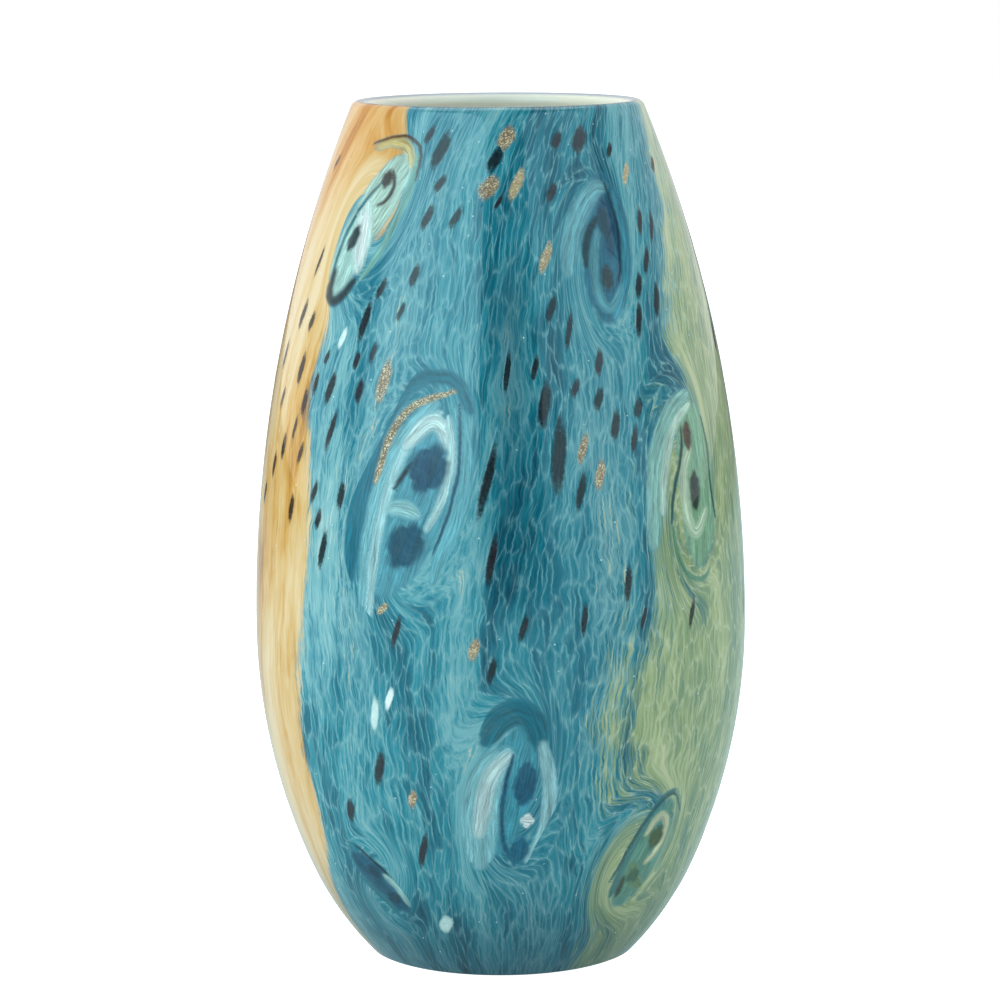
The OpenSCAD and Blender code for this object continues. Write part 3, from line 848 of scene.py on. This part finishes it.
EYES = {
    # node: two eyes, each with colour, width mm, softness mm, path across and along
    "twirl_left_top": [
        ("#14485a", 4.6, 1.8, [(0.12, 0.62), (0.14, 0.46)]),
        ("#2c3a3c", 4.6, 1.8, [(-0.2, -0.12), (-0.3, -0.38)]),
    ],
    "twirl_right_top": [
        ("#134258", 4.6, 2.0, [(0.15, 0.52), (0.25, 0.2)]),
        ("#3a3f42", 5.0, 2.2, [(0.22, -0.18), (0.24, -0.42)]),
    ],
    "twirl_middle": [
        ("#1c5870", 13.5, 3.0, [(0.27, 0.44), (0.1, 0.14)]),
        ("#1c5870", 13.0, 3.0, [(0.14, -0.30), (-0.12, -0.58)]),
    ],
    "twirl_right": [
        ("#5c4c3c", 4.4, 1.8, [(0.05, 0.52), (0.08, 0.3)]),
        ("#123640", 5.6, 2.0, [(0.2, 0.04), (0.22, -0.26)]),
    ],
    "twirl_foot": [
        ("#0a6480", 7.5, 1.6, [(0.34, 0.28), (0.38, -0.12)]),
        ("#0d6884", 6.5, 2.0, [(0.46, -0.62), (0.42, -0.85)]),
    ],
    "twirl_foot_right": [
        ("#4c6136", 7.5, 2.4, [(0.36, 0.38), (0.3, 0.14)]),
        ("#3c6c62", 6.0, 2.4, [(0.1, -0.3), (0.2, -0.42)]),
    ],
    "twirl_foot_left": [
        ("#17465a", 4.4, 2.2, [(-0.3, 0.25), (0.0, 0.15)]),
        ("#17465a", 4.4, 2.2, [(0.3, -0.2), (0.5, -0.3)]),
    ],
}
BACK_LIKE = {
    "twirl_back_right_top": "twirl_right",
    "twirl_back_right": "twirl_middle",
    "twirl_back_top": "twirl_foot",
    "twirl_back_foot": "twirl_right_top",
    "twirl_back_left": "twirl_left_top",
}
for node, like in BACK_LIKE.items():
    BANDS[node] = BANDS[like]
    EYES[node] = EYES[like]
GOLD_BASE = "#a08662"
FLAKE_MM = 0.3846


def streak(x, y, path, width, soft):
    """Cover of one streak, and the distance across and along it, in millimetres."""
    path = np.array(path, dtype=float)
    for _ in range(3):
        near = 0.75 * path[:-1] + 0.25 * path[1:]
        far = 0.25 * path[:-1] + 0.75 * path[1:]
        bent = np.stack([near, far], axis=1).reshape(-1, 2)
        path = np.concatenate([path[:1], bent, path[-1:]])
    length = np.hypot(*(path[1:] - path[:-1]).T).sum()
    best = np.full(x.shape, 1e3)
    side = np.zeros(x.shape)
    run = np.zeros(x.shape)
    so_far = 0.0
    for (ax, ay), (bx, by) in zip(path[:-1], path[1:]):
        dx, dy = bx - ax, by - ay
        step = max(math.hypot(dx, dy), 1e-6)
        t = np.clip(((x - ax) * dx + (y - ay) * dy) / step ** 2, 0.0, 1.0)
        away = np.hypot(x - ax - t * dx, y - ay - t * dy)
        closer = away < best
        best = np.where(closer, away, best)
        side = np.where(closer, ((x - ax) * dy - (y - ay) * dx) / step, side)
        run = np.where(closer, so_far + t * step, run)
        so_far += step
    taper = 0.45 + 0.55 * np.sqrt(np.clip(4 * run * (length - run) / length ** 2, 0.0, 1.0))
    half = width / 2 * taper
    return ease(0.0, 1.0, (half + soft / 2 - best) / soft), side, run


HOOK_GROUND = "#4f93a5"
LANE_MM = 11.0


def hook_values(node, angle, z, edge):
    """The frit's values with the twirl's own: band colour, how far it covers the frit, how far it is
    gold, and the place across and along the streak. Worked out for the outside, copied to the inside."""
    half = len(angle) // 2
    tall, wide = TWIRLS[node][:2]
    u, w = hook_place(node, angle[:half], z[:half])
    x, y = u * wide / 2, w * tall / 2
    wobble = 0.5 * (np.sin(0.9 * x + 0.5 * y) + np.sin(0.4 * x - 0.8 * y + 2.0) * np.cos(1.1 * y))
    colour = np.tile(np.array(seen(HOOK_GROUND)[:3]), (half, 1))
    cover = np.zeros(half)
    gold = np.zeros(half)
    across, along = x.copy(), y.copy()
    bands = len(BANDS[node])
    for number, (code, width, soft, path) in enumerate(BANDS[node] + EYES[node]):
        points = [(a * wide / 2, b * tall / 2) for a, b in path]
        rough = 0.25 if number < bands else 0.45
        part, side, run = streak(x + rough * wobble, y + rough * wobble, points, width, soft)
        is_gold = code == "gold"
        shade = np.array(seen(GOLD_BASE if is_gold else code)[:3])
        colour += (shade - colour) * part[:, None]
        gold = gold + (float(is_gold) - gold) * part
        cover = np.maximum(cover, part)
        if number < bands:
            across += (side + LANE_MM * number - across) * ease(0.1, 0.5, part)
            along += (run - along) * ease(0.1, 0.5, part)
    flat = np.zeros(2 * half)
    return {
        **frit_values(angle, z),
        "bands": tuple(np.tile(colour, (2, 1)).T),
        "cover": (np.tile(cover, 2) * edge, np.tile(gold, 2) * edge, flat),
        "streaks": (np.tile(across, 2), np.tile(along, 2), flat),
    }


HOOK = 0.1
LOWEST = 0.004


def lens(angle0, z0, tall, wide, lean, lift, rings, spokes):
    """A hooked oval lens in the wall: points, faces, angle, height and how far in from its rim."""
    t = np.arange(spokes) * 2 * math.pi / spokes
    ring = np.arange(1, rings + 1)[:, None] / rings
    x = wide / 1000 * (np.sin(t) / 2 + HOOK * np.sin(math.pi * np.cos(t))) * ring
    y = tall / 2000 * np.cos(t) * ring
    x, y = np.append(x.ravel(), 0.0), np.append(y.ravel(), 0.0)
    inner = np.append(np.repeat(1 - ring[:, 0], spokes), 1.0)
    c, s = math.cos(math.radians(lean)), math.sin(math.radians(lean))
    along = np.clip(z0 + x * s + y * c, LOWEST, lip_z - 0.0005)
    angle = angle0 + np.arcsin((x * c - y * s) / wall_radius(along))
    steep = wall_slope(along)
    length = np.sqrt(1 + steep ** 2)
    points = []
    for depth in (SINK - (SINK + lift) * ease(0.0, 0.12, inner), CASING + 0 * x):
        r = wall_radius(along) - depth / length
        high = along + depth * steep / length
        points.append(np.stack([r * np.sin(angle), -r * np.cos(angle), high], axis=1))
    n = len(x)
    faces = []
    for k in range(spokes):
        m = (k + 1) % spokes
        faces.append((n - 1, m, k))
        faces.append((2 * n - 1, n + k, n + m))
        for i in range(rings - 1):
            a = i * spokes
            faces.append((a + k, a + m, a + spokes + m, a + spokes + k))
            faces.append((n + a + k, n + a + spokes + k, n + a + spokes + m, n + a + m))
        a = (rings - 1) * spokes
        faces.append((a + k, a + m, n + a + m, n + a + k))
    return np.concatenate(points), faces, np.tile(angle, 2), np.tile(along, 2), np.tile(inner, 2)


twist, tree = material("hooked_bands")
frit_skin = frit_colour(tree)
bands = add(tree, "ShaderNodeAttribute", {"attribute_name": "bands"})
cover = add(tree, "ShaderNodeAttribute", {"attribute_name": "cover"})
cover = add(tree, "ShaderNodeSeparateXYZ", None, {0: cover.outputs["Vector"]})
lie = add(tree, "ShaderNodeAttribute", {"attribute_name": "streaks"})
# the streaks attribute is in millimetres: a streak is 0.7 mm across and fourteen times that long
lie = add(tree, "ShaderNodeVectorMath", TIMES, {
    0: lie.outputs["Vector"], 1: (1.0, 0.07, 1.0)})
hair = add(tree, "ShaderNodeTexNoise", None, {
    "Vector": lie.outputs[0], "Scale": 1.5, "Detail": 3.0, "Roughness": 0.65})
slow = add(tree, "ShaderNodeTexNoise", None, {
    "Vector": lie.outputs[0], "Scale": 0.45, "Detail": 2.0})
gain = add(tree, "ShaderNodeMapRange", None, {
    0: hair.outputs["Fac"], 1: 0.3, 2: 0.7, 3: 0.5, 4: 1.5})
slow_gain = add(tree, "ShaderNodeMapRange", None, {
    0: slow.outputs["Fac"], 1: 0.3, 2: 0.7, 3: 0.72, 4: 1.28})
gain = add(tree, "ShaderNodeMath", TIMES, {
    0: gain.outputs[0], 1: slow_gain.outputs[0]})
drawn_band = add(tree, "ShaderNodeVectorMath", {"operation": "SCALE"}, {
    0: bands.outputs["Vector"], "Scale": gain.outputs[0]})
glint = add(tree, "ShaderNodeTexCoord")
glint = add(tree, "ShaderNodeTexVoronoi", {"feature": "F1"}, {
    "Vector": glint.outputs["Object"], "Scale": each(FLAKE_MM)})
glint_tone = add(tree, "ShaderNodeSeparateColor", None, {0: glint.outputs["Color"]})
flake = add(tree, "ShaderNodeMapRange", None, {
    0: glint_tone.outputs[0], 1: 0.55, 2: 0.95})
flake = add(tree, "ShaderNodeMath", TIMES, {
    0: flake.outputs[0], 1: cover.outputs["Y"]})
drawn_band = add(tree, "ShaderNodeMix", COLOURS, {
    0: flake.outputs[0], 6: drawn_band.outputs[0], 7: paint("#f0dcb4")})
fringe = add(tree, "ShaderNodeMath", TIMES_PLUS, {
    0: hair.outputs["Fac"], 1: 0.5, 2: cover.outputs["X"]})
fringe = add(tree, "ShaderNodeMapRange", SMOOTH, {
    0: fringe.outputs[0], 1: 0.35, 2: 1.05, 3: 0.0, 4: 0.9})
skin = add(tree, "ShaderNodeMix", COLOURS, {
    0: fringe.outputs[0], 6: frit_skin, 7: drawn_band.outputs[2]})
under_crystal(tree, skin.outputs[2])

# the hook dragged the frit for some way past the rim of the twirl's own solid
DRAG = 1.3
TWIRL_RINGS, TWIRL_SPOKES = 60, 220
for node, (tall, wide, lean, turn) in TWIRLS.items():
    angle0, z0 = centres[node]
    points, faces, angle, z, inner = lens(
        angle0, z0, tall * DRAG, wide * DRAG, lean, SINK, TWIRL_RINGS, TWIRL_SPOKES)
    piece = mesh_piece(node + "_glass", points, faces)
    mark(piece, hook_values(node, angle, z, ease(0.0, 0.1, inner)))
    piece.data.materials.append(twist)
    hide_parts(node)
    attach(piece, "root")

# ---- Eyes ----
# The dark glass that the hook gathered up, one blot near each end of a twirl, with mottled edges.


def solids_of(node):
    """Angle, height, length and width of every separate solid of a CAD node."""
    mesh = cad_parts[node].data
    place = np.empty(len(mesh.vertices) * 3)
    mesh.vertices.foreach_get("co", place)
    place = place.reshape(-1, 3)
    spots, same = np.unique(np.round(place * 1e6).astype(np.int64), axis=0, return_inverse=True)
    same = same.ravel()
    ends = np.empty(len(mesh.edges) * 2, dtype=np.int64)
    mesh.edges.foreach_get("vertices", ends)
    first, second = same[ends[::2]], same[ends[1::2]]
    label = np.arange(len(spots))
    while True:
        before = label.copy()
        low = np.minimum(label[first], label[second])
        np.minimum.at(label, first, low)
        np.minimum.at(label, second, low)
        label = label[label]
        if (label == before).all():
            break
    found = []
    for number in np.unique(label):
        solid = spots[label == number] / 1e6
        middle = math.atan2(solid[:, 0].mean(), -solid[:, 1].mean())
        turn = np.arctan2(solid[:, 0], -solid[:, 1]) - middle
        turn = (turn + math.pi) % (2 * math.pi) - math.pi
        height = (solid[:, 2].min() + solid[:, 2].max()) / 2
        reach = float(wall_radius(np.array(height)))
        found.append((middle + (turn.min() + turn.max()) / 2, height,
                      np.ptp(solid[:, 2]), np.ptp(turn) * reach))
    return sorted(found)


# a patch this much larger than the eye lets its edge fade into the twirl
EYE_PATCH = 1.6
EYE_RINGS, EYE_SPOKES = 26, 72
points, faces, values = [], [], []
for angle0, z0, tall, wide in solids_of("twirl_eyes"):
    node = min(centres, key=lambda n: math.hypot(
        math.remainder(angle0 - centres[n][0], 2 * math.pi) * REACH, z0 - centres[n][1]))
    spots, more, angle, z, inner = lens(
        angle0, z0, tall * 1000 * EYE_PATCH, wide * 1000 * EYE_PATCH, TWIRLS[node][2], 2 * SINK,
        EYE_RINGS, EYE_SPOKES)
    faces += [tuple(len(points) + p for p in face) for face in more]
    points += list(spots)
    values.append(hook_values(node, angle, z, np.ones(len(angle))))
eyes = mesh_piece("twirl_eyes_glass", points, faces)
mark(eyes, {name: np.concatenate([part[name] for part in values], axis=1) for name in values[0]})
eyes.data.materials.append(twist)
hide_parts("twirl_eyes")
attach(eyes, "root")

# ---- Chips ----
# Broken pieces of dark, goldstone and white glass picked up on the hot colour and melted flat,
# each drawn out into a leaf along the twist of the wall.

CHIP_DEPTH = 0.0005
# the outer rings lie past the chip's own edge and fade it into the frit
leaf_spokes = 20
leaf_rings = [0.4, 0.7, 0.95, 1.15, 1.3]
spin = np.arange(leaf_spokes) * 2 * math.pi / leaf_spokes
leaf_points = []
for ring in leaf_rings:
    for t in spin:
        pointed = 0.5 * math.sin(t) * abs(math.sin(t)) ** 0.6
        hooked = HOOK * math.sin(math.pi * math.cos(t))
        leaf_points.append((ring * (pointed + hooked), ring * 0.5 * math.cos(t), 0.0))
leaf_points.append((0.0, 0.0, 0.0))
leaf_points += [(x * 0.98, y * 0.98, -CHIP_DEPTH) for x, y, z in leaf_points[-leaf_spokes - 1:-1]]
leaf_points.append((0.0, 0.0, -CHIP_DEPTH))
top = len(leaf_rings) * leaf_spokes
leaf_faces = []
for k in range(leaf_spokes):
    n = (k + 1) % leaf_spokes
    leaf_faces.append((top, n, k))
    for i in range(len(leaf_rings) - 1):
        a = i * leaf_spokes
        leaf_faces.append((a + k, a + n, a + leaf_spokes + n, a + leaf_spokes + k))
    rim = (len(leaf_rings) - 1) * leaf_spokes
    leaf_faces.append((rim + k, rim + n, top + 1 + n, top + 1 + k))
    leaf_faces.append((top + 1 + leaf_spokes, top + 1 + k, top + 1 + n))
leaf = mesh_piece("leaf", leaf_points, leaf_faces)
rim_share = [0.0, 0.1, 0.45, 0.8, 1.0]
shares = [min(rim_share[i] + 0.45 * ring * abs(math.cos(t)) ** 4, 1.0)
          for i, ring in enumerate(leaf_rings) for t in spin]
shares += [0.0] + [1.0] * (leaf_spokes + 1)
lifts = [1.0, 1.0, 0.95, 0.7, 0.3]
heights = [lifts[i] for i in range(len(leaf_rings)) for k in range(leaf_spokes)]
heights += [1.0] + [-4.0] * (leaf_spokes + 1)
give(leaf, "leaf", (np.array(shares), np.array(heights), np.zeros(len(shares))))

strew = bpy.data.node_groups.new("strew_chips", "GeometryNodeTree")
INPUTS = {
    "Points": "Geometry", "Leaf": "Object", "Glass": "Material",
    "Spread of size": "Float", "Spread of lean": "Float", "Seed": "Int"}
for name, kind in INPUTS.items():
    strew.interface.new_socket(name, in_out="INPUT", socket_type="NodeSocket" + kind)
strew.interface.new_socket("Chips", in_out="OUTPUT", socket_type="NodeSocketGeometry")
taken = add(strew, "NodeGroupInput")
thing = add(strew, "GeometryNodeObjectInfo", None, {"Object": taken.outputs["Leaf"]})
face_out = add(strew, "GeometryNodeInputNamedAttribute", {"data_type": "FLOAT_VECTOR"}, {"Name": "face"})
size = add(strew, "GeometryNodeInputNamedAttribute", {"data_type": "FLOAT_VECTOR"}, {"Name": "size"})
least = add(strew, "ShaderNodeMath", {"operation": "SUBTRACT"}, {
    0: 1.0, 1: taken.outputs["Spread of size"]})
most = add(strew, "ShaderNodeMath", {"operation": "ADD"}, {
    0: 1.0, 1: taken.outputs["Spread of size"]})
grow = add(strew, "FunctionNodeRandomValue", {"data_type": "FLOAT"}, {
    2: least.outputs[0], 3: most.outputs[0], "Seed": taken.outputs["Seed"]})
grown = add(strew, "ShaderNodeVectorMath", {"operation": "SCALE"}, {
    0: size.outputs[0], "Scale": grow.outputs[1]})
less = add(strew, "ShaderNodeMath", TIMES, {
    0: taken.outputs["Spread of lean"], 1: -1.0})
sway = add(strew, "FunctionNodeRandomValue", {"data_type": "FLOAT"}, {
    2: less.outputs[0], 3: taken.outputs["Spread of lean"], "Seed": taken.outputs["Seed"]})
lean = add(strew, "GeometryNodeInputNamedAttribute", {"data_type": "FLOAT"}, {"Name": "lean"})
lean = add(strew, "ShaderNodeMath", {"operation": "ADD"}, {0: sway.outputs[1], 1: lean.outputs[0]})
tilt = add(strew, "ShaderNodeCombineXYZ", None, {"Z": lean.outputs[0]})
laid = add(strew, "GeometryNodeInstanceOnPoints", None, {
    "Points": taken.outputs["Points"], "Instance": thing.outputs["Geometry"],
    "Rotation": face_out.outputs[0], "Scale": grown.outputs[0]})
tilted = add(strew, "GeometryNodeRotateInstances", None, {
    "Instances": laid.outputs[0], "Rotation": tilt.outputs[0], "Local Space": True})
real = add(strew, "GeometryNodeRealizeInstances", None, {"Geometry": tilted.outputs[0]})
glazed = add(strew, "GeometryNodeSetMaterial", None, {
    "Geometry": real.outputs[0], "Material": taken.outputs["Glass"]})
add(strew, "NodeGroupOutput", None, {"Chips": glazed.outputs[0]})
sockets = {item.name: item.identifier for item in strew.interface.items_tree if item.in_out == "INPUT"}

CHIP_LEAN = math.radians(-8)
TOP_LEAN = math.radians(12)
CHIP_LIFT = 0.00012
# the leaf with its faded rim is wider and longer than the solid chip in it
LEAF_WIDER = 1.15
LEAF_LONGER = 1.7
LEAF_LEAST = 0.0015


def chip_glass(name, stops, flakes):
    """Chip glass: its own mottled colour, soft at the rim where it has melted in to the frit."""
    stuff, tree = material(name)
    frit_skin = frit_colour(tree)
    rim = add(tree, "ShaderNodeAttribute", {"attribute_name": "leaf"})
    rim = add(tree, "ShaderNodeSeparateXYZ", None, {0: rim.outputs["Vector"]})
    own = add(tree, "ShaderNodeAttribute", {"attribute_name": "tone"})
    place = add(tree, "ShaderNodeTexCoord")
    mottle = add(tree, "ShaderNodeTexNoise", None, {
        "Vector": place.outputs["Object"], "Scale": each(1.25), "Detail": 3.0, "Roughness": 0.7})
    shade = add(tree, "ShaderNodeMath", TIMES_PLUS, {
        0: own.outputs["Fac"], 1: 0.5, 2: mottle.outputs["Fac"]})
    body = add(tree, "ShaderNodeValToRGB", {"stops": stops}, {"Fac": shade.outputs[0]})
    flake = add(tree, "ShaderNodeTexVoronoi", {"feature": "F1"}, {
        "Vector": place.outputs["Object"], "Scale": each(FLAKE_MM)})
    flake = add(tree, "ShaderNodeSeparateColor", None, {0: flake.outputs["Color"]})
    flake = add(tree, "ShaderNodeMapRange", None, {
        0: flake.outputs[0], 1: 0.6, 2: 0.95, 3: 0.0, 4: flakes})
    body = add(tree, "ShaderNodeMix", COLOURS, {
        0: flake.outputs[0], 6: body.outputs[0], 7: paint("#f3dcb2")})
    ragged = add(tree, "ShaderNodeMath", TIMES_PLUS, {
        0: mottle.outputs["Fac"], 1: 0.9, 2: -0.45})
    ragged = add(tree, "ShaderNodeMath", {"operation": "ADD"}, {0: ragged.outputs[0], 1: rim.outputs["X"]})
    melt = add(tree, "ShaderNodeMapRange", SMOOTH, {
        0: ragged.outputs[0], 1: 0.95, 2: 0.1, 3: 0.0, 4: 0.93})
    # the rim ring itself always shows the frit
    inside = add(tree, "ShaderNodeMapRange", None, {0: rim.outputs["X"], 1: 0.95, 2: 0.6})
    melt = add(tree, "ShaderNodeMath", {"operation": "MINIMUM"}, {0: melt.outputs[0], 1: inside.outputs[0]})
    skin = add(tree, "ShaderNodeMix", COLOURS, {
        0: melt.outputs[0], 6: frit_skin, 7: body.outputs[2]})
    under_crystal(tree, skin.outputs[2])
    return stuff


CHIPS = {
    # node: (slot, colours from dark to light, share of copper flakes, seed)
    "dark_chips": ("dark", [
        (0.3, paint("#04080c")), (0.65, paint("#0d1116")), (0.95, paint("#2a2024"))], 0.0, 3),
    "gold_chips": ("aventurine", [
        (0.3, paint("#6a5342")), (0.65, paint("#917455")), (0.95, paint("#b39a72"))], 0.8, 5),
    "pale_chips": ("pale", [
        (0.3, paint("#a9cfcb")), (0.65, paint("#d2e6df")), (0.95, paint("#eef5ee"))], 0.0, 7),
}
for node, (slot, stops, flakes, seed) in CHIPS.items():
    points, faces_out, sizes, leans, tones = [], [], [], [], []
    chance = np.random.default_rng(seed)
    for angle, z, tall, wide in solids_of(node):
        r = float(wall_radius(np.array(z)))
        steep = float(wall_slope(np.array(z)))
        points.append((r * math.sin(angle), -r * math.cos(angle), z))
        faces_out.append((math.pi / 2 - math.atan(steep), 0.0, angle))
        long = (tall - wide * abs(math.sin(CHIP_LEAN))) / math.cos(CHIP_LEAN)
        slim = (wide - tall * abs(math.sin(CHIP_LEAN))) / math.cos(CHIP_LEAN)
        sizes.append((max(slim, LEAF_LEAST) * LEAF_WIDER, long * LEAF_LONGER, 1.0))
        leans.append(CHIP_LEAN - TOP_LEAN * float(ease(0.20, 0.28, z)))
        tones.append(chance.random())
    spots = mesh_piece(node + "_spots", points, [])
    give(spots, "face", tuple(np.array(faces_out).T))
    give(spots, "size", tuple(np.array(sizes).T))
    for name, values in (("tone", tones), ("lean", leans)):
        layer = spots.data.attributes.new(name, "FLOAT", "POINT")
        layer.data.foreach_set("value", np.array(values, dtype=np.float32))
    layer = spots.modifiers.new("strew", "NODES")
    layer.node_group = strew
    layer[sockets["Leaf"]] = leaf
    layer[sockets["Glass"]] = chip_glass(node + "_melted", stops, flakes)
    layer[sockets["Spread of size"]] = 0.12
    layer[sockets["Spread of lean"]] = 0.10
    layer[sockets["Seed"]] = seed
    ready = spots.evaluated_get(bpy.context.evaluated_depsgraph_get())
    mesh = bpy.data.meshes.new_from_object(ready)
    spots.modifiers.clear()
    # lay every leaf down on the curve of the wall, a hair proud of the skin
    flat = np.empty(len(mesh.vertices) * 3)
    mesh.vertices.foreach_get("co", flat)
    flat = flat.reshape(-1, 3)
    angle = np.arctan2(flat[:, 0], -flat[:, 1])
    z = np.clip(flat[:, 2], LOWEST, lip_z)
    rims = np.empty(len(mesh.vertices) * 3, dtype=np.float32)
    mesh.attributes["leaf"].data.foreach_get("vector", rims)
    r = wall_radius(z) + CHIP_LIFT * rims.reshape(-1, 3)[:, 1]
    flat = np.stack([r * np.sin(angle), -r * np.cos(angle), z], axis=1)
    mesh.vertices.foreach_set("co", flat.ravel())
    mesh.shade_smooth()
    mesh.set_sharp_from_angle(angle=SHARP)
    piece = bpy.data.objects.new(node + "_glass", mesh)
    scene.collection.objects.link(piece)
    mark(piece, frit_values(angle, z))
    bpy.data.objects.remove(spots)
    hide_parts(node)
    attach(piece, "root")
bpy.data.objects.remove(leaf)
